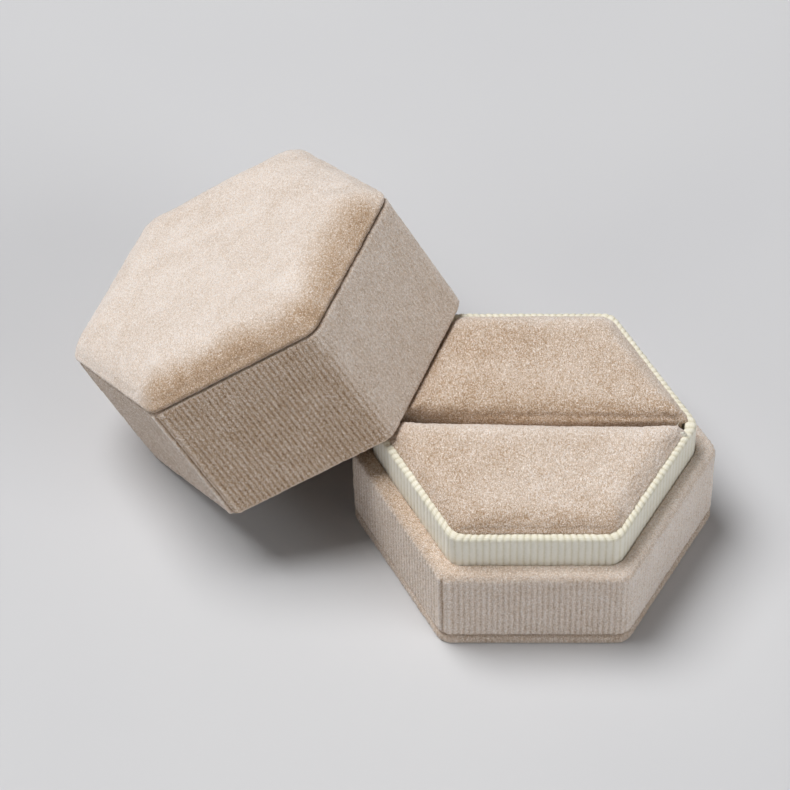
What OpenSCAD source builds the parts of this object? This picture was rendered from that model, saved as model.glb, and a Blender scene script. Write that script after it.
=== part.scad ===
// Hexagonal velvet ring box: base with ribbon collar and two ring pads, and a lift-off lid leaning on it.
// Millimetres. Origin: centre of the base's underside. +Z up, X corner to corner along the slot, +Y back.

/* [Outline] */
// Across two opposite corners, before they are rounded
across_corners = 62; // [60:0.5:64]
// Radius of the six upright corners
corner_r = 3; // [2.6:0.1:3.6]

/* [Boards and fabric] */
// Velvet, with its pile pressed
velvet_t = 0.6; // [0.5:0.1:0.7]
// Velvet pressed flat under the box and where it turns in
hem_t = 0.4; // [0.3:0.1:0.5]
// Grosgrain ribbon round the collar
ribbon_t = 0.4; // [0.3:0.1:0.5]
// Ribbon where it turns down inside the collar
ribbon_in_t = 0.3; // [0.2:0.1:0.4]
// Lining of the lid's walls
lining_t = 0.5; // [0.4:0.1:0.6]
// Board of the collar and card under the pads
card_t = 0.9; // [0.8:0.1:1.1]
// Board of the lid's walls and ceiling
lid_board_t = 1.6; // [1.4:0.1:1.7]

/* [Base] */
// Covered bottom plate
plate_h = 1.9; // [1.7:0.1:2.1]
// Dark seam between the bottom plate and the band
seam_gap = 0.5; // [0.3:0.1:0.7]
// Top of the velvet ledge that the lid closes on
ledge_z = 19; // [17:0.5:20]
// Ledge, from the band's outer face to the ribbon
ledge_w = 3; // [2.9:0.1:3.2]
// Top of the ribbon collar
collar_z = 26; // [25:0.5:26]
// Width that the bottom cover turns in over its board
bottom_turn_in = 6; // [4:0.5:8]
// Depth of ribbon hidden behind the ledge
ribbon_tuck = 7; // [4:0.5:9]
// Ribbon turned down inside the collar
ribbon_turn_in = 6; // [4:0.5:8]

/* [Ring pads] */
// Pad top at the collar, below the collar's top
pad_drop = 0.3; // [0.2:0.1:0.6]
// How much higher the pads stand at the slot
pad_crown = 1.5; // [1:0.1:1.8]
// Width over which a pad's ends fall to the collar
pad_end_fall = 10; // [10:0.5:12]
// Slot between the two pads at rest
slot_w = 0.3; // [0.2:0.1:0.5]
// How far each pad gives when a ring goes in
pad_give = 0.8; // [0.5:0.1:0.8]
// Clearance left behind a pad at full give
pad_clear = 0.25; // [0.2:0.05:0.4]
// Radius of the pad's edge at the slot
slot_edge_r = 3; // [2:0.5:4]
// Radius of the pad's edge against the collar
outer_edge_r = 1; // [0.7:0.1:1.4]

/* [Lid] */
// Side wall, from the rim to the seam of the top panel
lid_side_h = 25.5; // [24:0.5:27]
// Thickness of the padded top panel
lid_top_h = 5; // [4.5:0.1:5.5]
// Board of the top panel, as high as the panel's upright edge
dome_edge_h = 1.5; // [1.2:0.1:1.8]
// Width of the panel's rounded shoulder
dome_inset = 4.5; // [3.5:0.5:5.5]
// Clearance between the lid's lining and the ribbon
lid_clear = 0.3; // [0.2:0.05:0.4]

/* [Lid at rest] */
// Tilt of the lid, one rim edge on the floor and the other on the collar
lid_tilt = 31.6; // [31.4:0.1:34]
// Turn of the lid about the vertical
lid_turn = -21.6; // [-22:0.1:-21]
// Rim edge on the floor, X of its middle
lid_foot_x = -60.1; // [-62:0.1:-60]
// Rim edge on the floor, Y of its middle
lid_foot_y = 26.4; // [26:0.1:27]

/* [Hidden] */

cut = 1;                                     // how far a cutter runs past what it cuts
arc_n = 4;                                   // segments in each rounded upright corner
edge_n = 5;                                  // segments in each rounded pad edge
dome_n = 6;                                  // slices in the panel's shoulder
slice_h = 0.01;                              // thickness of a slice of the dome
slide_gap = 0.15;                            // under the pads, which slide over the card

outer = across_corners / 2 * cos(30);        // centre to a flat, of the covered outside
band_out = outer - velvet_t;
band_z = plate_h + seam_gap;
ribbon_out = outer - ledge_w;
collar_out = ribbon_out - ribbon_t;
collar_in = collar_out - card_t;
band_in = ribbon_out + 0.2;
well = collar_in - ribbon_in_t;              // the space that the pads lie in
collar_board_z = collar_z - ribbon_t;
floor_z = plate_h + 1.5;
insert_z = floor_z + card_t;
insert_out = collar_in - 0.15;

pad_z = insert_z + slide_gap;
pad_top = collar_z - pad_drop;
pad_side = well - pad_give / 2 - pad_clear;  // centre to a slanted side
pad_front = well - pad_give - pad_clear;     // centre to the side along the collar's flat
pad_half_x = across_corners;

lining_in = ribbon_out + lid_clear;
wall_in = lining_in + lining_t;
ceiling_z = lid_side_h - lid_board_t - velvet_t;

velvet_c = [0.80, 0.72, 0.64];
ribbon_c = [0.92, 0.90, 0.80];
board_c = [0.62, 0.58, 0.52];
foam_c = [0.93, 0.92, 0.88];
lining_c = [0.84, 0.77, 0.69];

// Hexagon by its distance from centre to flat, with rounded corners, the first on +X.
function hex_points(flat, r) = [
    for (k = [0 : 5], i = [0 : arc_n])
        let (a = 60 * k - 30 + 60 * i / arc_n)
        (flat - r) / cos(30) * [cos(60 * k), sin(60 * k)] + r * [cos(a), sin(a)]
];

// Quarter arc from angle a0, for a pad's rounded edge.
function arc_points(centre, r, a0) = [
    for (i = [0 : edge_n]) centre + r * [cos(a0 + 90 * i / edge_n), sin(a0 + 90 * i / edge_n)]
];

module hex(flat, z0, z1, r = corner_r) {
    translate([0, 0, z0]) linear_extrude(z1 - z0) polygon(hex_points(flat, r));
}

module hex_ring(flat_out, flat_in, z0, z1) {
    difference() {
        hex(flat_out, z0, z1);
        hex(flat_in, z0 - cut, z1 + cut, corner_r - 0.5);
    }
}

// Front half pad, shrunk by t on every covered face. It rises from the flat to the slot, where its edge
// rounds over, and its two ends fall to the collar.
module pad(t, z0) {
    far = -pad_front + t;
    near = -slot_w / 2 - t;
    low = pad_top - t;
    high = low + pad_crown;
    ro = outer_edge_r;
    rs = slot_edge_r - t;
    end = pad_side / cos(30);
    across = concat(
        [[far, z0], [near, z0]],
        arc_points([near - rs, high - rs], rs, 0),
        arc_points([far + ro, low - ro], ro, 90));
    along = [[-end, z0 - cut], [end, z0 - cut], [end, low],
             [end - pad_end_fall, high + slice_h], [pad_end_fall - end, high + slice_h], [-end, low]];
    intersection() {
        hex(pad_side - t, z0, high + cut);
        rotate([90, 0, 90]) translate([0, 0, -pad_half_x]) linear_extrude(2 * pad_half_x) polygon(across);
        rotate([90, 0, 0]) translate([0, 0, -pad_half_x]) linear_extrude(2 * pad_half_x) polygon(along);
    }
}

module pad_foam() {
    color(foam_c) pad(velvet_t, pad_z);
}

module pad_cover() {
    color(velvet_c) difference() {
        pad(0, pad_z);
        pad(velvet_t, pad_z - cut);
    }
}

// Places what is drawn upright, rim at z = 0, as the lid lies: one rim edge on the floor.
module lid_at_rest() {
    translate([lid_foot_x, lid_foot_y, 0]) rotate([0, -lid_tilt, lid_turn])
        translate([outer, 0, 0]) rotate(30) children();
}

// Padded top panel, shrunk by t: an upright edge, then a shoulder that rounds in to a flat top.
module dome(t, z0) {
    rise = lid_top_h - dome_edge_h;
    hull() {
        hex(outer - t, z0, lid_side_h + dome_edge_h);
        for (i = [1 : dome_n])
            let (a = 90 * i / dome_n, z = lid_side_h + dome_edge_h + rise * sin(a) - t)
            hex(outer - t - dome_inset * (1 - cos(a)), z - slice_h, z);
    }
}

module base_bottom_board() {
    color(board_c) hex(band_out, hem_t, plate_h - hem_t);
}

module base_bottom_cover() {
    color(velvet_c) difference() {
        hex(outer, 0, plate_h);
        hex(band_out, hem_t, plate_h - hem_t);
        hex(outer - bottom_turn_in, plate_h - hem_t, plate_h + cut);
    }
}

module base_floor_card() {
    color(board_c) hex(band_in, plate_h, floor_z, corner_r - 0.5);
}

module base_band_board() {
    color(board_c) hex_ring(band_out, band_in, band_z + hem_t, ledge_z - velvet_t);
}

module base_band_cover() {
    color(velvet_c) {
        difference() {
            hex(outer, band_z, ledge_z);
            hex(band_out, band_z + hem_t, ledge_z - velvet_t);
            hex(band_in, band_z - cut, ledge_z - velvet_t, corner_r - 0.5);
            hex(ribbon_out, band_z, ledge_z + cut);
        }
    }
}

module collar_board() {
    color(board_c) hex_ring(collar_out, collar_in, floor_z, collar_board_z);
}

module collar_ribbon() {
    color(ribbon_c) difference() {
        hex(ribbon_out, ledge_z - ribbon_tuck, collar_z);
        hex(collar_out, ledge_z - ribbon_tuck - cut, collar_z - ribbon_turn_in);
        difference() {
            hex(collar_out, collar_z - ribbon_turn_in - cut, collar_board_z);
            hex(collar_in, collar_z - ribbon_turn_in - cut, collar_board_z, corner_r - 0.5);
        }
        hex(well, collar_z - ribbon_turn_in - cut, collar_z + cut, corner_r - 0.5);
    }
}

module insert_card() {
    color(board_c) hex(insert_out, floor_z, insert_z, corner_r - 0.5);
}

module front_pad_foam() {
    pad_foam();
}

module front_pad_cover() {
    pad_cover();
}

module back_pad_foam() {
    rotate(180) pad_foam();
}

module back_pad_cover() {
    rotate(180) pad_cover();
}

module lid_wall_board() {
    color(board_c) lid_at_rest() hex_ring(band_out, wall_in, velvet_t, lid_side_h);
}

module lid_side_cover() {
    color(velvet_c) lid_at_rest() difference() {
        hex(outer, 0, lid_side_h);
        hex(band_out, velvet_t, lid_side_h + cut);
        hex(lining_in, -cut, lid_side_h, corner_r - 0.5);
    }
}

module lid_wall_lining() {
    color(lining_c) lid_at_rest() difference() {
        hex(wall_in, velvet_t, ceiling_z, corner_r - 0.5);
        hex(lining_in, velvet_t - cut, ceiling_z + cut, corner_r - 0.5);
    }
}

module lid_ceiling_card() {
    color(board_c) lid_at_rest() hex(wall_in, lid_side_h - lid_board_t, lid_side_h, corner_r - 0.5);
}

module lid_ceiling_lining() {
    color(lining_c) lid_at_rest() hex(wall_in, ceiling_z, lid_side_h - lid_board_t, corner_r - 0.5);
}

module lid_top_board() {
    color(board_c) lid_at_rest() hex(band_out, lid_side_h, lid_side_h + dome_edge_h);
}

module lid_top_padding() {
    color(foam_c) lid_at_rest() difference() {
        dome(velvet_t, lid_side_h);
        hex(outer, lid_side_h - cut, lid_side_h + dome_edge_h);
    }
}

module lid_top_cover() {
    color(velvet_c) lid_at_rest() difference() {
        dome(0, lid_side_h);
        dome(velvet_t, lid_side_h - cut);
    }
}

base_bottom_board();
base_bottom_cover();
base_floor_card();
base_band_board();
base_band_cover();
collar_board();
collar_ribbon();
insert_card();
front_pad_foam();
front_pad_cover();
back_pad_foam();
back_pad_cover();
lid_wall_board();
lid_side_cover();
lid_wall_lining();
lid_ceiling_card();
lid_ceiling_lining();
lid_top_board();
lid_top_padding();
lid_top_cover();
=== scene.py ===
import math

import bpy
import numpy as np
from mathutils import Matrix, Vector


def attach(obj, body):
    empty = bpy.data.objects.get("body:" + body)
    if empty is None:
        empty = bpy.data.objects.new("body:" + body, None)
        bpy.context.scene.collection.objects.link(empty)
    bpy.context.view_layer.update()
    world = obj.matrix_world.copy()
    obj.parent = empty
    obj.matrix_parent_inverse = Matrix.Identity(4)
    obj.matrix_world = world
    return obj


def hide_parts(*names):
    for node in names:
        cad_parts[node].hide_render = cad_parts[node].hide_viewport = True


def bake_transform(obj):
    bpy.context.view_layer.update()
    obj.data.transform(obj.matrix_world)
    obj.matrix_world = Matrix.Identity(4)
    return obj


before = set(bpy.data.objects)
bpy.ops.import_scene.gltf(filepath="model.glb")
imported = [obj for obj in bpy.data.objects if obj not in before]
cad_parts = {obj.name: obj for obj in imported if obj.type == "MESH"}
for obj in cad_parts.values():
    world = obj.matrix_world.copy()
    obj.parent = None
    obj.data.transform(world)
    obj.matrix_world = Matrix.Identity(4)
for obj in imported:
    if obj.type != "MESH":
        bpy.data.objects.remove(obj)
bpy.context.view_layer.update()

# Lengths are in millimetres until a piece is placed. The base stands upright in the row frame. The lid is
# made upright too, rim at z = 0, and LID lays it down: one rim edge on the floor, the other on the collar.
MM = 0.001
CORNER_R = 3.0
SIDES = 6


def turned(degrees, axis):
    return Matrix.Rotation(math.radians(degrees), 4, axis)


def extent(node, place=Matrix.Identity(4)):
    """Lowest and highest corner of a CAD node, in millimetres, as it was before place moved it."""
    back = np.array(place.inverted())
    points = np.array([v.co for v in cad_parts[node].data.vertices]) / MM
    points = points @ back[:3, :3].T + back[:3, 3]
    return points.min(0), points.max(0)


band_low, band_high = extent("base_band_cover")
OUTER = band_high[1]
BAND_Z, LEDGE_Z = band_low[2], band_high[2]
PLATE_H = extent("base_bottom_cover")[1][2]
ribbon_low, ribbon_high = extent("collar_ribbon")
RIBBON_OUT, RIBBON_Z, COLLAR_Z = ribbon_high[1], ribbon_low[2], ribbon_high[2]
COLLAR_OUT = extent("collar_board")[1][1]
COLLAR_T = 0.9                  # board
RIBBON_IN_T = 0.3
WELL = COLLAR_OUT - COLLAR_T - RIBBON_IN_T      # the pads lie inside this
PAD_LOW, PAD_HIGH = extent("front_pad_cover")

LID_AT = (-60.1, 26.4, 0)       # the middle of the rim edge that stands on the floor
LID_TURN = -21.6
LID_TILT = 31.6
LID = (Matrix.Translation(LID_AT) @ turned(LID_TURN, "Z") @ turned(-LID_TILT, "Y")
       @ Matrix.Translation((OUTER, 0, 0)) @ turned(30, "Z"))
LID_SIDE_H = extent("lid_side_cover", LID)[1][2]
LID_TOP = extent("lid_top_cover", LID)[1][2]
LID_PLAY = 0.3                  # between the ribbon and the closed lid's lining
LINING_T = 0.5
LINING_IN = RIBBON_OUT + LID_PLAY
WALL_IN = LINING_IN + LINING_T
CEILING_Z = extent("lid_ceiling_lining", LID)[0][2]

VELVET_T = 0.6
HEM_T = 0.4                     # velvet turned in and glued flat
PILE_H = 0.085
RIB_H = 0.17
FOLD_H = 0.16                   # depth of the groove where the side velvet's ends meet
WALES = 33                      # ribs of the side velvet along one side of the hexagon
CORDS = 24                      # cords of the ribbon along one side


# ---------------------------------------------------------------- shapes

def outline(t, flat, radius):
    """Points and outward directions round a rounded hexagon. t runs 0 to 6, one side for each unit,
    and each side starts with its corner's arc."""
    straight = 2 * (OUTER - CORNER_R) * math.tan(math.pi / SIDES)
    arc = CORNER_R * math.pi / 3
    arc_share = arc / (arc + straight)
    side = np.floor(t)
    share = t - side
    along_arc = np.minimum(share / arc_share, 1)
    along_straight = np.clip((share - arc_share) / (1 - arc_share), 0, 1)[:, None]
    angle = np.radians(60 * side - 30 + 60 * along_arc)
    out = np.stack([np.cos(angle), np.sin(angle)], 1)

    def centre(k):
        a = np.radians(60 * k)
        return (flat - radius) / math.cos(math.pi / 6) * np.stack([np.cos(a), np.sin(a)], 1)

    start = centre(side)
    points = start + (centre(side + 1) - start) * along_straight + radius * out
    return points, out


SIDE_LENGTH = 2 * (OUTER - CORNER_R) * math.tan(math.pi / SIDES) + CORNER_R * math.pi / 3
CORNER_T = CORNER_R * math.pi / 6 / SIDE_LENGTH     # from the start of a side to the middle of its corner


def rounded(corners, arc_step=0.24):
    """A closed path through corners (out, up, radius, step). Each is rounded, and the straight after it is
    cut into steps."""
    def unit(v):
        return v / np.linalg.norm(v)

    spots = [np.array(c[:2], float) for c in corners]
    arcs = []
    for i, here in enumerate(spots):
        a, b = unit(spots[i - 1] - here), unit(spots[(i + 1) % len(spots)] - here)
        half = math.acos(np.clip(a @ b, -1, 1)) / 2
        radius = corners[i][2]
        centre = here + unit(a + b) * radius / math.sin(half)
        count = max(2, math.ceil(radius * (math.pi - 2 * half) / arc_step))
        ends = here + a * radius / math.tan(half) - centre, here + b * radius / math.tan(half) - centre
        sweep = math.pi - 2 * half
        shares = [(math.sin(sweep * (1 - k / count)), math.sin(sweep * k / count)) for k in range(count + 1)]
        arcs.append([centre + (ends[0] * p + ends[1] * q) / math.sin(sweep) for p, q in shares])
    path = []
    for i, arc in enumerate(arcs):
        path += arc
        gap = arcs[(i + 1) % len(arcs)][0] - arc[-1]
        count = max(1, round(np.linalg.norm(gap) / corners[i][3]))
        path += [arc[-1] + gap * k / count for k in range(1, count)]
    return np.array(path)


def sweep(path, columns):
    """A closed skin: the path carried round the hexagon. Returns points, quads, each point's t, and the
    quads' corners as (length round the hexagon, length along the path) for a woven pattern."""
    t = np.arange(columns) * SIDES / columns
    rows = []
    for out, up in path:
        flat = max(OUTER + out, 0.02)
        points, _ = outline(t, flat, min(CORNER_R, flat * 0.9))
        rows.append(np.column_stack([points, np.full(columns, up)]))
    count = len(rows)
    i, j = (a.ravel() for a in np.meshgrid(np.arange(count), np.arange(columns), indexing="ij"))
    up, right = (i + 1) % count, (j + 1) % columns
    quads = np.stack([i * columns + j, i * columns + right, up * columns + right, up * columns + j], 1)
    steps = np.linalg.norm(np.diff(path, axis=0, append=path[:1]), axis=1)
    length = np.concatenate([[0], np.cumsum(steps)])
    u0, u1 = j * SIDES / columns * SIDE_LENGTH, (j + 1) * SIDES / columns * SIDE_LENGTH
    uv = np.stack([u0, length[i], u1, length[i], u1, length[i + 1], u0, length[i + 1]], 1).reshape(-1, 2)
    return np.concatenate(rows), quads, np.tile(t, count), uv


def from_outline(points, flat, radius=CORNER_R):
    """How far each point is outside the rounded hexagon, and which way is out."""
    angle = np.arctan2(points[:, 1], points[:, 0])
    facing = np.radians(60 * np.floor(np.degrees(angle) / 60) + 30)
    face = np.stack([np.cos(facing), np.sin(facing)], 1)
    along = np.stack([-face[:, 1], face[:, 0]], 1)
    u = (points[:, :2] * face).sum(1) - (flat - radius)
    v = (points[:, :2] * along).sum(1)
    past = np.maximum(np.abs(v) - (flat - radius) * math.tan(math.pi / SIDES), 0) * (u > 0)
    length = np.maximum(np.hypot(u, past), 1e-9)
    out = (face * np.abs(u)[:, None] + along * (np.sign(v) * past)[:, None]) / length[:, None]
    return np.where(u > 0, length, u) - radius, np.column_stack([out, np.zeros(len(out))])


def normals(points, quads):
    a, b, c, d = (points[quads[:, k]] for k in range(4))
    face = np.cross(c - a, d - b)
    total = np.stack([np.bincount(quads.ravel(), np.repeat(face[:, k], 4), len(points)) for k in range(3)], 1)
    return total / np.maximum(np.linalg.norm(total, axis=1, keepdims=True), 1e-12)


def noise(points, cell, seed):
    """Smooth random values, -1 to 1, that change over one cell. cell is a length, or one for each axis."""
    q = points / np.asarray(cell, float) + 0.37 * seed
    low = np.floor(q).astype(np.int64)
    f = q - low
    f = f * f * (3 - 2 * f)
    total = np.zeros(len(points))
    for corner in np.ndindex(2, 2, 2):
        i = low + corner
        h = (i[:, 0] * 374761393 + i[:, 1] * 668265263 + i[:, 2] * 1442695041 + seed * 974634777) & 0xFFFFFFFF
        h = ((h ^ (h >> 13)) * 1274126177) & 0xFFFFFFFF
        h = (h ^ (h >> 16)) & 0xFFFF
        total += (h / 32767.5 - 1) * np.prod(np.where(corner, f, 1 - f), axis=1)
    return total


def pile(points, seed, height=0.09):
    """Height of the velvet's pile: tufts, clumps of tufts and slow waves."""
    return (height * (0.75 * noise(points, 0.3, seed) + 0.55 * noise(points, 0.62, seed + 1))
            + 0.05 * noise(points, 3.5, seed + 2))


def bump(x, width):
    return np.exp(-(x / width) ** 2)


def sheen_facing(out, towards, place=None):
    """How far a slope faces towards: 1 facing it, -1 facing away. It places painted sheen and painted shade.
    """
    aim = Vector(towards)
    if place is not None:
        aim = place.to_3x3().inverted() @ aim
    aim = np.array(aim) * (1, 1, 0)
    return out @ (aim / np.linalg.norm(aim))


def smooth(x, low, high):
    x = np.clip((x - low) / (high - low), 0, 1)
    return x * x * (3 - 2 * x)


# ---------------------------------------------------------------- materials

def put(tree, kind, inputs=(), **settings):
    """Adds a shader node. inputs maps its sockets to numbers, colours or other nodes' outputs."""
    node = tree.nodes.new("ShaderNode" + kind)
    for key, value in settings.items():
        setattr(node, key, value)
    for key, value in dict(inputs).items():
        if isinstance(value, bpy.types.NodeSocket):
            tree.links.new(value, node.inputs[key])
        else:
            node.inputs[key].default_value = value
    return node


def maths(tree, operation, *values):
    return put(tree, "Math", dict(enumerate(values)), operation=operation).outputs[0]


def ramp(tree, factor, stops):
    node = put(tree, "ValToRGB", {0: factor})
    elements = node.color_ramp.elements
    while len(elements) < len(stops):
        elements.new(0.5)
    for element, (position, colour) in zip(elements, stops):
        element.position = position
        element.color = (*colour, 1)
    return node.outputs[0]


def blank(name):
    material = bpy.data.materials.new(name)
    material.use_nodes = True
    material.node_tree.nodes.clear()
    return material, material.node_tree


def finish(tree, colour, roughness, height, distance, strength=0.5, **more):
    normal = put(tree, "Bump", {"Height": height, "Distance": distance, "Strength": strength})
    inputs = {"Base Color": colour, "Roughness": roughness, "Normal": normal.outputs[0]}
    inputs.update({key.replace("_", " "): value for key, value in more.items()})
    shader = put(tree, "BsdfPrincipled", inputs)
    output = put(tree, "OutputMaterial")
    tree.links.new(shader.outputs[0], output.inputs["Surface"])


VELVET_STOPS = [(0.0, (0.17, 0.102, 0.053)), (0.28, (0.41, 0.277, 0.172)), (0.55, (0.60, 0.478, 0.378)),
                (0.78, (0.76, 0.655, 0.57)), (1.0, (0.90, 0.825, 0.765))]


def cloth_place(tree, stretch=(1, 1, 1)):
    """The piece's own place in millimetres, before it was laid down, squeezed along the pile's rows."""
    where = put(tree, "Attribute", attribute_name="cloth").outputs["Vector"]
    return put(tree, "VectorMath", {0: where, 1: stretch}, operation="MULTIPLY").outputs[0]


def speck(tree, where, scale, detail=1.0, distortion=0.0, contrast=2.2):
    """Noise of this many specks a millimetre, spread evenly from -1 to 1."""
    inputs = {"Vector": where, "Scale": scale, "Detail": detail, "Distortion": distortion}
    source = put(tree, "TexNoise", inputs)
    return maths(tree, "MULTIPLY_ADD", source.outputs[0], 2 * contrast, -contrast)


def velvet(name, level, rows, tuft=0.10, tip=0.10, clump=0.03, wave=0.05):
    """Pile fabric. Its tone is level, the mesh's "tone", which holds painted sheen, highlights and shade,
    slow waves where the pile leans over, clumps, tufts and bright tips with painted glints, drawn out along
    the rows of the pile. Its hue drifts between peach and grey."""
    material, tree = blank(name)
    place = cloth_place(tree)
    along = cloth_place(tree, rows)
    tufts = speck(tree, along, 3.6, 1.5)
    tips = speck(tree, along, 7.5, 1.0)
    tone = maths(tree, "ADD", put(tree, "Attribute", attribute_name="tone").outputs["Fac"], level)
    for source, amount in ((tufts, tuft), (tips, tip), (speck(tree, place, 0.9, 2, 0.5), clump),
                           (speck(tree, place, 0.15, 3, 0.8), wave)):
        tone = maths(tree, "MULTIPLY_ADD", source, amount, tone)
    # painted glints: the brightest tips made brighter still
    painted_glint = maths(tree, "MAXIMUM", maths(tree, "SUBTRACT", tips, 0.22), 0)
    tone = maths(tree, "MULTIPLY_ADD", painted_glint, 0.45, tone)
    colour = ramp(tree, tone, VELVET_STOPS)
    hue = maths(tree, "MULTIPLY_ADD", speck(tree, place, 4.2, 1), 0.5, 0.5)
    tint = ramp(tree, hue, [(0.1, (0.965, 0.99, 1.04)), (0.5, (1, 1, 1)), (0.9, (1.03, 0.985, 0.95))])
    tinted = put(tree, "Mix", {6: colour, 7: tint, 0: 1.0}, data_type="RGBA", blend_type="MULTIPLY")
    height = maths(tree, "MULTIPLY_ADD", tips, 0.5, tufts)
    roughness = maths(tree, "MULTIPLY_ADD", tips, 0.05, 0.88)
    finish(tree, tinted.outputs[2], roughness, height, 0.05 * MM, 0.6, Specular_IOR_Level=0.12,
           Sheen_Weight=0.3, Sheen_Roughness=0.5, Sheen_Tint=(1.0, 0.95, 0.88, 1))
    return material


def grosgrain(name):
    """Ribbon of thick cords, crossed by fine warp threads."""
    material, tree = blank(name)
    place = cloth_place(tree)
    uv = put(tree, "SeparateXYZ", {0: put(tree, "UVMap", uv_map="weave").outputs[0]})
    warp = maths(tree, "SINE", maths(tree, "MULTIPLY", uv.outputs[1], 2 * math.pi / 0.36))
    grain = speck(tree, place, 2.4, 2)
    tone = maths(tree, "ADD", put(tree, "Attribute", attribute_name="tone").outputs["Fac"], 0.82)
    for source, amount in ((warp, 0.035), (grain, 0.07), (speck(tree, place, 0.2, 2), 0.05)):
        tone = maths(tree, "MULTIPLY_ADD", source, amount, tone)
    colour = ramp(tree, tone, [(0.0, (0.24, 0.20, 0.12)), (0.4, (0.60, 0.55, 0.41)),
                               (0.7, (0.81, 0.76, 0.605)), (1.0, (0.93, 0.90, 0.795))])
    height = maths(tree, "MULTIPLY_ADD", warp, 0.6, grain)
    finish(tree, colour, maths(tree, "MULTIPLY_ADD", grain, 0.06, 0.6), height, 0.03 * MM, 0.5,
           Specular_IOR_Level=0.35, Sheen_Weight=0.15, Sheen_Roughness=0.4)
    return material


def lining_cloth(name):
    """Thin brushed lining, with the faint weave of the cloth under it."""
    material, tree = blank(name)
    place = cloth_place(tree)
    uv = put(tree, "SeparateXYZ", {0: put(tree, "UVMap", uv_map="weave").outputs[0]})
    per_thread = 2 * math.pi / 0.42
    threads = [maths(tree, "SINE", maths(tree, "MULTIPLY", axis, per_thread)) for axis in uv.outputs[:2]]
    weave = maths(tree, "MULTIPLY", *threads)
    grain = speck(tree, place, 2.4, 3)
    tone = maths(tree, "MULTIPLY_ADD", speck(tree, place, 0.16, 3, 0.5), 0.08, 0.55)
    tone = maths(tree, "MULTIPLY_ADD", grain, 0.1, maths(tree, "MULTIPLY_ADD", weave, 0.05, tone))
    colour = ramp(tree, tone, VELVET_STOPS)
    roughness = maths(tree, "MULTIPLY_ADD", grain, 0.06, 0.8)
    finish(tree, colour, roughness, maths(tree, "ADD", weave, grain), 0.03 * MM, 0.5,
           Specular_IOR_Level=0.2, Sheen_Weight=0.3, Sheen_Roughness=0.4)
    return material


def greyboard(name):
    """Pressed recycled board: grey-brown fibres and darker flecks."""
    material, tree = blank(name)
    where = put(tree, "TexCoord").outputs["Object"]
    inputs = {"Vector": where, "Scale": 1500, "Detail": 4, "Distortion": 1.5}
    fibres = put(tree, "TexNoise", inputs).outputs[0]
    flecks = put(tree, "TexVoronoi", {"Vector": where, "Scale": 700}).outputs["Distance"]
    tone = maths(tree, "MULTIPLY_ADD", flecks, 0.25, maths(tree, "MULTIPLY", fibres, 0.8))
    colour = ramp(tree, tone, [(0.2, (0.20, 0.17, 0.14)), (0.5, (0.36, 0.32, 0.27)),
                               (0.8, (0.48, 0.44, 0.38))])
    finish(tree, colour, maths(tree, "MULTIPLY_ADD", fibres, 0.15, 0.8), fibres, 0.05 * MM, 0.4,
           Specular_IOR_Level=0.2)
    return material


def sponge(name):
    """Open-cell foam."""
    material, tree = blank(name)
    where = put(tree, "TexCoord").outputs["Object"]
    cells = put(tree, "TexVoronoi", {"Vector": where, "Scale": 1900}).outputs["Distance"]
    tint = put(tree, "TexNoise", {"Vector": where, "Scale": 120, "Detail": 2}).outputs[0]
    tone = maths(tree, "MULTIPLY_ADD", tint, 0.3, maths(tree, "MULTIPLY", cells, 0.7))
    colour = ramp(tree, tone, [(0.1, (0.55, 0.51, 0.42)), (0.45, (0.80, 0.77, 0.68)),
                               (0.8, (0.90, 0.88, 0.81))])
    finish(tree, colour, maths(tree, "MULTIPLY_ADD", cells, 0.1, 0.85), cells, 0.15 * MM, 0.6,
           Specular_IOR_Level=0.2)
    return material


side_velvet = velvet("side_velvet", 0.58, rows=(1, 1, 0.5), tuft=0.15, tip=0.16)
# The lid top's velvet has a higher level than the pads': painted sheen on the lid's top.
top_velvet = velvet("top_velvet", 0.78, rows=(1, 0.5, 1), tuft=0.12, tip=0.14, wave=0.07)
pad_velvet = velvet("pad_velvet", 0.61, rows=(1, 0.5, 1), tuft=0.16, tip=0.18, wave=0.07)
ribbon = grosgrain("grosgrain")
lining = lining_cloth("lining")
board = greyboard("greyboard")
foam = sponge("foam")


# ---------------------------------------------------------------- pieces

def piece(name, points, quads, material, tone=None, uv=None, place=None):
    """A mesh object in the row frame, made from points in millimetres."""
    upright = points
    if place is not None:
        matrix = np.array(place)
        points = points @ matrix[:3, :3].T + matrix[:3, 3]
    mesh = bpy.data.meshes.new(name)
    mesh.from_pydata((points * MM).tolist(), [], quads.tolist())
    mesh.shade_smooth()
    # The "tone" attribute carries each piece's painted sheen, highlights and shade, on the ribbon also some
    # of its own brightness.
    mesh.attributes.new("tone", "FLOAT", "POINT").data.foreach_set(
        "value", np.zeros(len(points), np.float32) if tone is None else tone.astype(np.float32))
    mesh.attributes.new("cloth", "FLOAT_VECTOR", "POINT").data.foreach_set(
        "vector", upright.astype(np.float32).ravel())
    if uv is not None:
        mesh.uv_layers.new(name="weave").data.foreach_set("uv", uv.astype(np.float32).ravel())
    mesh.materials.append(material)
    made = bpy.data.objects.new(name, mesh)
    bpy.context.scene.collection.objects.link(made)
    return made


def wales(points, t, seed):
    """Ribs of the side velvet, from 0 in a groove to 1 on a rib, broken into tufts along each rib."""
    phase = t * WALES
    rib = (0.5 + 0.5 * np.cos(2 * np.pi * phase)) ** 0.8
    grid = np.column_stack([np.round(phase) * 3.7, points[:, 2] / 0.75, np.zeros(len(t))])
    return rib * (0.86 + 0.14 * noise(grid, 1, seed))


def corner_fold(t, side):
    """The two lips where the side velvet's ends meet on the corner that starts this side."""
    along = (t - side - CORNER_T) * SIDE_LENGTH
    return bump(along - 0.8, 0.45) + bump(along + 0.8, 0.45), bump(along, 0.32)


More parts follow.
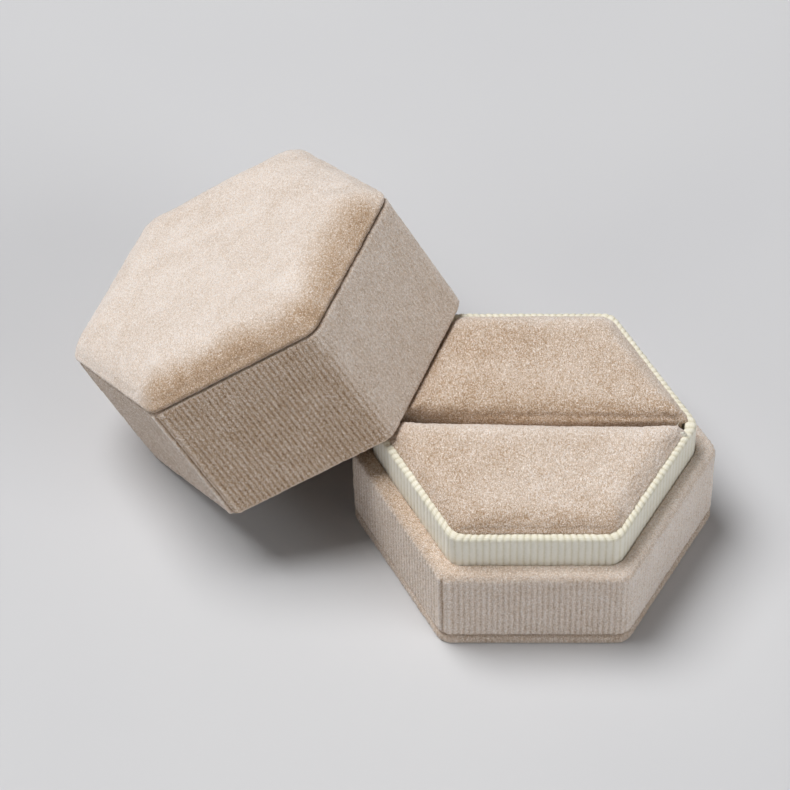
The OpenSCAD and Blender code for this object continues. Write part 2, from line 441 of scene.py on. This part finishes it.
def band_piece():
    inner = RIBBON_OUT - OUTER + 0.08
    top = LEDGE_Z + 0.1
    path = rounded([(0, BAND_Z, 0.55, 0.37), (0, top, 1.25, 0.26), (inner, top, 0.45, 1),
                    (inner, LEDGE_Z - VELVET_T, 0.05, 1.5), (-VELVET_T, LEDGE_Z - VELVET_T, 0.1, 3),
                    (-VELVET_T, BAND_Z + HEM_T, 0.1, 1.5), (inner + 0.2, BAND_Z + HEM_T, 0.05, 1),
                    (inner + 0.2, BAND_Z, 0.05, 1.5)])
    points, quads, t, uv = sweep(path, SIDES * WALES * 6)
    out = normals(points, quads)
    upright = smooth(1 - np.abs(out[:, 2]), 0.4, 0.95) * smooth(points[:, 2], BAND_Z + 0.2, BAND_Z + 1.0)
    rib = wales(points, t, 11)
    lips, fold = corner_fold(t, 4)
    on_ledge = smooth(out[:, 2], 0.3, 0.9)
    height = pile(points, 21, PILE_H + 0.05 * on_ledge)
    height += upright * (RIB_H * rib + 0.2 * lips - FOLD_H * fold)
    # painted shade in the grooves between the wales and painted highlight on them, weaker on faces turned to
    # +x
    rib_shading = 0.24 - 0.14 * smooth(out[:, 0], 0.3, 0.8)
    # painted sheen: the upright faces lighter, more so on faces turned to +x
    painted_sheen = 0.13 + 0.06 * out[:, 0] + 0.12 * np.maximum(out[:, 0], 0)
    # painted highlight on the lips of the corner fold and painted shade in its groove
    tone = upright * (rib_shading * (rib - 0.5) + 0.12 * lips - 0.16 * fold + painted_sheen)
    # painted light on the ledge: lighter towards +x, darker towards -x
    tone += on_ledge * (0.02 + 0.15 * points[:, 0] / OUTER)
    return piece("base_band_velvet", points + out * height[:, None], quads, side_velvet, tone, uv)


def plate_piece():
    path = rounded([(-OUTER, 0, 0.005, 2), (0, 0, 0.35, 0.3), (0, PLATE_H, 0.5, 1.2),
                    (-6, PLATE_H, 0.05, 0.3), (-6, PLATE_H - HEM_T, 0.05, 2),
                    (-VELVET_T, PLATE_H - HEM_T, 0.05, 1), (-VELVET_T, HEM_T, 0.05, 3),
                    (-OUTER, HEM_T, 0.005, 2)])
    points, quads, t, uv = sweep(path, SIDES * WALES * 6)
    out = normals(points, quads)
    upright = smooth(1 - np.abs(out[:, 2]), 0.4, 0.95)
    rib = wales(points, t, 12)
    height = pile(points, 24, 0.07) * (0.25 + 0.75 * upright) + 0.1 * rib * upright
    points = points + out * height[:, None]
    points[:, 2] = np.maximum(points[:, 2], 0)
    # Its tone is painted shade in the grooves between the wales and painted highlight on them.
    return piece("base_bottom_velvet", points, quads, side_velvet, upright * 0.12 * (rib - 0.5), uv)


def ribbon_piece():
    out_to, out_in = RIBBON_OUT - OUTER, WELL - OUTER
    fold_out, fold_in = COLLAR_OUT - OUTER, WELL + RIBBON_IN_T - OUTER
    path = rounded([(out_to, RIBBON_Z, 0.05, 0.4), (out_to, COLLAR_Z, 0.7, 0.3), (out_in, COLLAR_Z, 0.5, 0.5),
                    (out_in, COLLAR_Z - 6, 0.05, 0.4), (fold_in, COLLAR_Z - 6, 0.05, 2),
                    (fold_in, COLLAR_Z - 0.4, 0.05, 1), (fold_out, COLLAR_Z - 0.4, 0.05, 3),
                    (fold_out, RIBBON_Z, 0.05, 1)])
    points, quads, t, uv = sweep(path, SIDES * CORDS * 8)
    out = normals(points, quads)
    phase = t * CORDS
    cord = np.abs(np.cos(np.pi * phase)) ** 0.75
    outside = outline(t, RIBBON_OUT, CORNER_R)[0]
    reach = np.linalg.norm(points[:, :2], axis=1) / np.linalg.norm(outside, axis=1)
    seen = smooth(reach, 0.96, 0.99) + smooth(points[:, 2], COLLAR_Z - 0.9, COLLAR_Z - 0.4)
    over_edge = smooth(points[:, 2], COLLAR_Z - 1.2, COLLAR_Z - 0.2)
    weight = np.clip(seen, 0, 1)
    grid = np.column_stack([np.round(phase) * 5.1, points[:, 2] / 2.5, np.zeros(len(t))])
    height = weight * (0.12 + 0.02 * over_edge) * (cord - 0.6) + 0.03 * noise(points, 0.4, 31)
    height += weight * (0.02 + 0.05 * over_edge) * noise(grid, 1, 33)
    # painted highlight on the cords' crests and painted shade between them; painted shade on the top edge
    tone = weight * (0.32 * (cord - 0.62) + 0.1 - 0.2 * over_edge)
    return piece("collar_grosgrain", points + out * height[:, None], quads, ribbon, tone, uv)


SIM_SCALE = 10                  # the cloth is simulated ten times as large as it is
SIM_FRAMES = 20


def used_up(made):
    """Points and faces of a scratch object after its modifiers. The object is removed."""
    graph = bpy.context.evaluated_depsgraph_get()
    mesh = bpy.data.meshes.new_from_object(made.evaluated_get(graph))
    points = np.zeros(len(mesh.vertices) * 3)
    mesh.vertices.foreach_get("co", points)
    faces = [tuple(p.vertices) for p in mesh.polygons]
    source = made.data
    bpy.data.objects.remove(made)
    for spent in (mesh, source):
        bpy.data.meshes.remove(spent)
    return points.reshape(-1, 3), faces


def scratch(points, faces):
    mesh = bpy.data.meshes.new("scratch")
    mesh.from_pydata(points.tolist(), [], faces)
    made = bpy.data.objects.new("scratch", mesh)
    bpy.context.scene.collection.objects.link(made)
    return made


def inflate(points, faces, voxel, held_below, most, pressure=4.0):
    """Remeshes a closed shape, lets cloth swell under pressure, and returns it. The lower part is held,
    and nothing moves further than most."""
    scale = MM * SIM_SCALE
    rough = scratch(points * scale, faces)
    remesh = rough.modifiers.new("even", "REMESH")
    remesh.mode, remesh.voxel_size = "VOXEL", voxel * scale
    start, faces = used_up(rough)
    made = scratch(start, faces)
    held = made.vertex_groups.new(name="held")
    held.add([int(i) for i in np.nonzero(start[:, 2] < held_below * scale)[0]], 1.0, "REPLACE")
    cloth = made.modifiers.new("cloth", "CLOTH")
    cloth.settings.vertex_group_mass = "held"
    cloth.settings.use_pressure = True
    cloth.settings.uniform_pressure_force = pressure
    cloth.settings.quality = 5
    cloth.settings.bending_stiffness = 2.0
    cloth.settings.effector_weights.gravity = 0
    for number in range(1, SIM_FRAMES + 1):
        bpy.context.scene.frame_set(number)
    swollen, faces = used_up(made)
    move = swollen - start
    length = np.linalg.norm(move, axis=1, keepdims=True)
    move *= np.minimum(1, most * scale / np.maximum(length, 1e-9))
    bpy.context.scene.frame_set(1)
    return (start + move) / scale, faces


def subdivided(points, faces, levels):
    made = scratch(points, faces)
    finer = made.modifiers.new("finer", "SUBSURF")
    finer.levels = finer.render_levels = levels
    points, faces = used_up(made)
    return points, np.array(faces)


def loft(rings):
    """A closed block through flat outlines, each a list of places and its height."""
    count = len(rings[0][0])
    points = np.concatenate([np.column_stack([corners, np.full(count, up)]) for corners, up in rings])
    walls = [(low + i, low + (i + 1) % count, low + (i + 1) % count + count, low + i + count)
             for low in range(0, count * (len(rings) - 1), count) for i in range(count)]
    top = count * (len(rings) - 1)
    return points, [tuple(range(count))[::-1], tuple(range(top, top + count)), *walls]


def shoulder(inset, foot, crown, width):
    """Insets and heights of a rounded edge: a quarter ellipse from the wall's foot to the flat crown."""
    return [(inset + width * (1 - math.cos(a)), foot + (crown - foot) * math.sin(a))
            for a in np.linspace(0, math.pi / 2, 10)]


PAD_ROLL = 3.4                  # width of the pads' rounded edges
LIP = 0.55                      # how far the pads puff over the collar
PAD_CROWN = PAD_HIGH[2] + 1.0   # the cloth swells it further above the foam
PAD_FOOT = COLLAR_Z + 0.02
PAD_SHEEN_AIM = (0.35, 0.94, 0)       # painted sheen on slopes facing this way, painted shade, tan, on those facing away
UNDER_LID = 0.55                # room between the pads and the lid that leans over them


def half_hexagon(inset):
    """Outline of the front pad, inset from the collar and from the slot."""
    points = outline(np.linspace(3, SIDES, 121), WELL - inset, CORNER_R + max(inset, 0) * 0.4)[0]
    near = PAD_HIGH[1] - max(inset, 0)
    reach = (WELL - inset) / math.cos(math.pi / 6) + near * math.tan(math.pi / 6) - 0.25
    return np.column_stack([np.clip(points[:, 0], -reach, reach), np.minimum(points[:, 1], near)])


def pad_skin():
    """The front pad before the collar presses it: half a hexagon of foam, with its velvet swollen by it."""
    path = [(0.1, PAD_LOW[2]), (0.1, COLLAR_Z - 0.5), *shoulder(-LIP, PAD_FOOT, PAD_CROWN, PAD_ROLL)]
    points, faces = loft([(half_hexagon(inset), up) for inset, up in path])
    points, faces = inflate(points, faces, voxel=0.92, held_below=COLLAR_Z - 3.0, most=0.3, pressure=3)
    return subdivided(points, faces, 2)


def pressed(points, turn):
    """Presses the pad's skin against the collar, the other pad and the lid."""
    reach, out = from_outline(points, WELL)
    snug = -0.1 - 0.4 * smooth(points[:, 1], -12, -1)
    room = snug + (LIP - snug) * smooth(points[:, 2], COLLAR_Z - 0.5, PAD_FOOT)
    below = 1 - smooth(points[:, 2], PAD_FOOT, PAD_FOOT + 0.8)
    near = smooth(reach, -1.3, -0.4) * below
    points = points + (np.minimum(room - reach, 0) * (1 - near) + (room - reach) * near)[:, None] * out
    flat = PAD_HIGH[1]
    to_slot = (flat - points[:, 1]) * below * smooth(points[:, 1], flat - 1.2, flat - 0.4)
    points[:, 1] = np.minimum(points[:, 1] + to_slot, flat)
    points[:, 2] = np.maximum(points[:, 2] + 0.1 * noise(points, (9, 7, 9), 45) * (1 - below), PAD_LOW[2])
    points = points * (turn, turn, 1)
    back = np.array(LID.inverted())
    high = (points @ back[:3, :3].T + back[:3, 3])[:, 2] + UNDER_LID
    points[:, 2] -= np.maximum(high, 0) * (points[:, 2] > COLLAR_Z - 4) * math.cos(math.radians(LID_TILT))
    return points


def pad_tone(points, out, turn):
    """Painted sheen along the pad's back edge and painted shade, tan, where it rolls down at the front.
    The back pad is darker and both darken towards -x: painted shade.
    """
    painted_sheen = 1 - smooth(points[:, 1].max() - points[:, 1], 0.5, 6)
    tan = 1 - smooth(points[:, 1] - points[:, 1].min(), 1, 5.5)
    # painted shade on the back pad and towards -x; painted sheen on slopes facing PAD_SHEEN_AIM, painted
    # shade on slopes facing away
    level = -0.04 if turn > 0 else -0.12
    return level + 0.2 * painted_sheen - 0.09 * tan + 0.08 * sheen_facing(out, PAD_SHEEN_AIM) + 0.003 * points[:, 0]


def pad_pieces():
    skin, quads = pad_skin()
    for side, turn, seed in (("front", 1, 41), ("back", -1, 51)):
        here = pressed(skin, turn)
        out = normals(here, quads)
        fuzz = smooth(here[:, 2], COLLAR_Z - 1, COLLAR_Z + 0.3)
        height = pile(here, seed, 0.1) * (0.15 + 0.85 * fuzz)
        cover = piece(side + "_pad_velvet", here + out * height[:, None], quads, pad_velvet,
                      pad_tone(here, out, turn))
        core = here - out * 0.75
        core[:, 2] = np.maximum(core[:, 2], PAD_LOW[2])
        filling = piece(side + "_pad_filling", core, quads, foam)
        coarse = filling.modifiers.new("coarse", "DECIMATE")
        coarse.ratio = 0.15
        bpy.context.view_layer.objects.active = filling
        bpy.ops.object.modifier_apply(modifier=coarse.name)
        for part in (filling, cover):
            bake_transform(part)
        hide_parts(side + "_pad_foam")
        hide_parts(side + "_pad_cover")


LID_SHEEN_AIM = (-0.5, 0.86, 0)       # painted sheen on slopes of the lid's top facing this way, painted shade on those facing away
SIDE_SHEEN_AIM = (0.71, 0.65, 0.26)   # painted sheen on slopes of the lid's sides facing this way, painted shade on those facing away
DOME_ROLL = 8.5                 # width of the dome's rounded edge
DOME_FOOT = 0.85                # height at which it starts, above the lid's side
PADDING_Z = 1.55                # underside of the padding, above the lid's side


def lid_side_piece():
    inner = LINING_IN - OUTER
    top = LID_SIDE_H - 0.1
    path = rounded([(0, 0, 0.9, 0.49), (0, top, 0.35, 0.5), (-VELVET_T, top, 0.05, 3),
                    (-VELVET_T, VELVET_T, 0.05, 1.2), (inner, VELVET_T, 0.05, 1), (inner, 0, 0.5, 0.4)])
    points, quads, t, uv = sweep(path, SIDES * WALES * 6)
    out = normals(points, quads)
    upright = smooth(1 - np.abs(out[:, 2]), 0.4, 0.95)
    rib = wales(points, t, 13)
    lips, fold = corner_fold(t, 4)
    height = pile(points, 61, PILE_H) + upright * (RIB_H * rib + 0.22 * lips - FOLD_H * fold)
    slope = sheen_facing(out, SIDE_SHEEN_AIM, LID)
    # painted shade in the grooves and painted highlight on the wales, weaker on slopes facing SIDE_SHEEN_AIM
    rib_shading = 0.32 - 0.24 * smooth(slope, 0, 0.5)
    # painted highlight on the corner fold's lips and painted shade in its groove
    tone = upright * (rib_shading * (rib - 0.5) + 0.2 * lips - 0.22 * fold)
    # painted sheen on slopes facing SIDE_SHEEN_AIM, painted shade on those facing away, except the steepest
    # away
    away_shade = 0.34 * slope * smooth(slope, -0.95, -0.7)
    tone += upright * np.where(slope > 0, 0.19 * slope, away_shade)
    points = points + out * height[:, None]
    return piece("lid_side_velvet", points, quads, side_velvet, tone, uv, LID)


def lid_top_pieces():
    low, high = LID_SIDE_H + 0.05, LID_TOP
    foot = LID_SIDE_H + DOME_FOOT
    t = np.linspace(0, SIDES, 240, endpoint=False)
    path = [(0.45, low), (0, low + 0.3), *shoulder(-0.12, foot, high, DOME_ROLL)]
    rings = [(outline(t, OUTER - inset, CORNER_R + 0.4 * max(inset, 0))[0], up) for inset, up in path]
    points, faces = loft(rings)
    points, faces = inflate(points, faces, voxel=1.0, held_below=foot, most=0.35, pressure=3)
    points, quads = subdivided(points, faces, 1)
    proud, out = from_outline(points, OUTER)
    lip = 0.15 - 0.55 * (1 - np.clip((points[:, 2] - low) / (foot - low), 0, 1)) ** 2
    near = smooth(proud, -1.6, -0.6) * (1 - smooth(points[:, 2], foot, foot + 0.9))
    points += ((lip - proud) * near)[:, None] * out
    points[:, 2] += 0.15 * noise(points, (11, 8, 9), 75) * smooth(points[:, 2], foot, high)
    points[:, 2] = np.maximum(points[:, 2], low)
    core = points - normals(points, quads) * 0.7
    core[:, 2] = np.maximum(core[:, 2], LID_SIDE_H + PADDING_Z)
    filling = piece("lid_top_filling", core, quads, foam, place=LID)
    skin, quads = subdivided(points, quads.tolist(), 1)
    out = normals(skin, quads)
    height = pile(skin, 71, 0.1)
    proud, way = from_outline(skin, OUTER, 9.0)
    roll = 1 - smooth(1.3 * noise(skin, (6, 5, 6), 77) - proud, 0.5, 7.5)
    facing = sheen_facing(way, LID_SHEEN_AIM, LID)
    # painted light on the dome's rounded edge: painted sheen where it faces LID_SHEEN_AIM, painted shade,
    # tan, where it faces away
    tone = roll * (0.1 * smooth(facing, 0.1, 0.7) - 0.46 * smooth(-facing, 0.1, 0.9))
    skin = skin + out * height[:, None]
    cover = piece("lid_top_velvet", skin, quads, top_velvet, tone, place=LID)
    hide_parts("lid_top_padding")
    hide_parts("lid_top_cover")
    return [filling, cover]


def lining_pieces():
    wall = rounded([(WALL_IN - OUTER, VELVET_T, 0.05, 1), (WALL_IN - OUTER, CEILING_Z, 0.05, 1),
                    (LINING_IN - OUTER, CEILING_Z, 0.05, 0.6), (LINING_IN - OUTER, VELVET_T, 0.2, 1)])
    points, quads, _, uv = sweep(wall, 720)
    points = points + normals(points, quads) * 0.03 * noise(points, 2.5, 81)[:, None]
    walls = piece("lid_wall_lining_cloth", points, quads, lining, uv=uv, place=LID)
    panel = rounded([(-OUTER, CEILING_Z, 0.005, 0.8), (WALL_IN - OUTER - 0.1, CEILING_Z, 0.25, 0.3),
                     (WALL_IN - OUTER - 0.1, CEILING_Z + 0.6, 0.05, 2), (-OUTER, CEILING_Z + 0.6, 0.005, 1)])
    points, quads, _, uv = sweep(panel, 360)
    points = points + normals(points, quads) * 0.04 * noise(points, 2.5, 83)[:, None]
    ceiling = piece("lid_ceiling_lining_cloth", points, quads, lining, uv=uv, place=LID)
    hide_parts("lid_wall_lining")
    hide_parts("lid_ceiling_lining")
    return [walls, ceiling]


band, plate, collar = band_piece(), plate_piece(), ribbon_piece()
lid_side = lid_side_piece()
for made, node, body in ((band, "base_band_cover", "base"), (plate, "base_bottom_cover", "base"),
                         (collar, "collar_ribbon", "base"), (lid_side, "lid_side_cover", "lid")):
    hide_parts(node)
    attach(made, body)
pad_pieces()
for made in (*lid_top_pieces(), *lining_pieces()):
    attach(made, "lid")

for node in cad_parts.values():
    if not node.hide_render:
        for holder in node.material_slots:
            holder.material = board

# ---------------------------------------------------------------- floor, light and camera

scene = bpy.context.scene
scene.view_settings.view_transform = "Standard"

bpy.ops.mesh.primitive_plane_add(size=6)
floor = bpy.context.object
floor.name = "floor"
paper, tree = blank("floor_paper")
grain = put(tree, "TexNoise", {"Scale": 60, "Detail": 2}).outputs[0]
shade = ramp(tree, grain, [(0.3, (0.595, 0.595, 0.61)), (0.7, (0.625, 0.625, 0.635))])
finish(tree, shade, 0.9, grain, 0.01 * MM, 0.1, Specular_IOR_Level=0.1)
floor.data.materials.append(paper)


MIDDLE = Vector((-20, 10, 10)) * MM      # of the box and its lid


def softbox(name, direction, distance, size, share):
    """A round lamp. It gives a surface facing it this share of the light that makes white paper white."""
    lamp = bpy.data.lights.new(name, "AREA")
    lamp.shape = "DISK"
    lamp.size = size
    lamp.energy = share * (math.pi * distance) ** 2
    made = bpy.data.objects.new(name, lamp)
    made.location = Vector(direction).normalized() * distance
    made.rotation_mode = "QUATERNION"
    made.rotation_quaternion = (MIDDLE - made.location).to_track_quat("-Z", "Y")
    scene.collection.objects.link(made)


softbox("key", (-0.35, 0.17, 0.92), 3.0, 1.8, 1.0)
softbox("fill_right", (0.75, -0.50, 0.43), 2.5, 1.6, 0.34)
softbox("fill_left", (-0.80, -0.40, 0.45), 2.5, 1.6, 0.11)
world = bpy.data.worlds.new("studio")
world.use_nodes = True
backdrop = world.node_tree.nodes["Background"]
backdrop.inputs["Color"].default_value = (1, 1, 1, 1)
backdrop.inputs["Strength"].default_value = 0.025
scene.world = world

CAMERA_AT = Vector((-9.68, -353.29, 492.75)) * MM
AZIMUTH = math.radians(2.177)
ELEVATION = math.radians(52.394)
ROLL = math.radians(-1.811)
SENSOR_MM = 36
FOCAL_MM = 159.5114
ahead = Vector((-math.sin(AZIMUTH) * math.cos(ELEVATION), math.cos(AZIMUTH) * math.cos(ELEVATION),
                -math.sin(ELEVATION)))
level = Vector((math.cos(AZIMUTH), math.sin(AZIMUTH), 0))
above = level.cross(ahead)
right = math.cos(ROLL) * level + math.sin(ROLL) * above
lens = bpy.data.cameras.new("camera")
lens.lens = FOCAL_MM
lens.sensor_width = SENSOR_MM
lens.clip_start = 0.01
lens.clip_end = 20
camera = bpy.data.objects.new("camera", lens)
camera.matrix_world = Matrix.Translation(CAMERA_AT) @ Matrix(
    (right, right.cross(ahead), -ahead)).transposed().to_4x4()
scene.collection.objects.link(camera)
scene.camera = camera
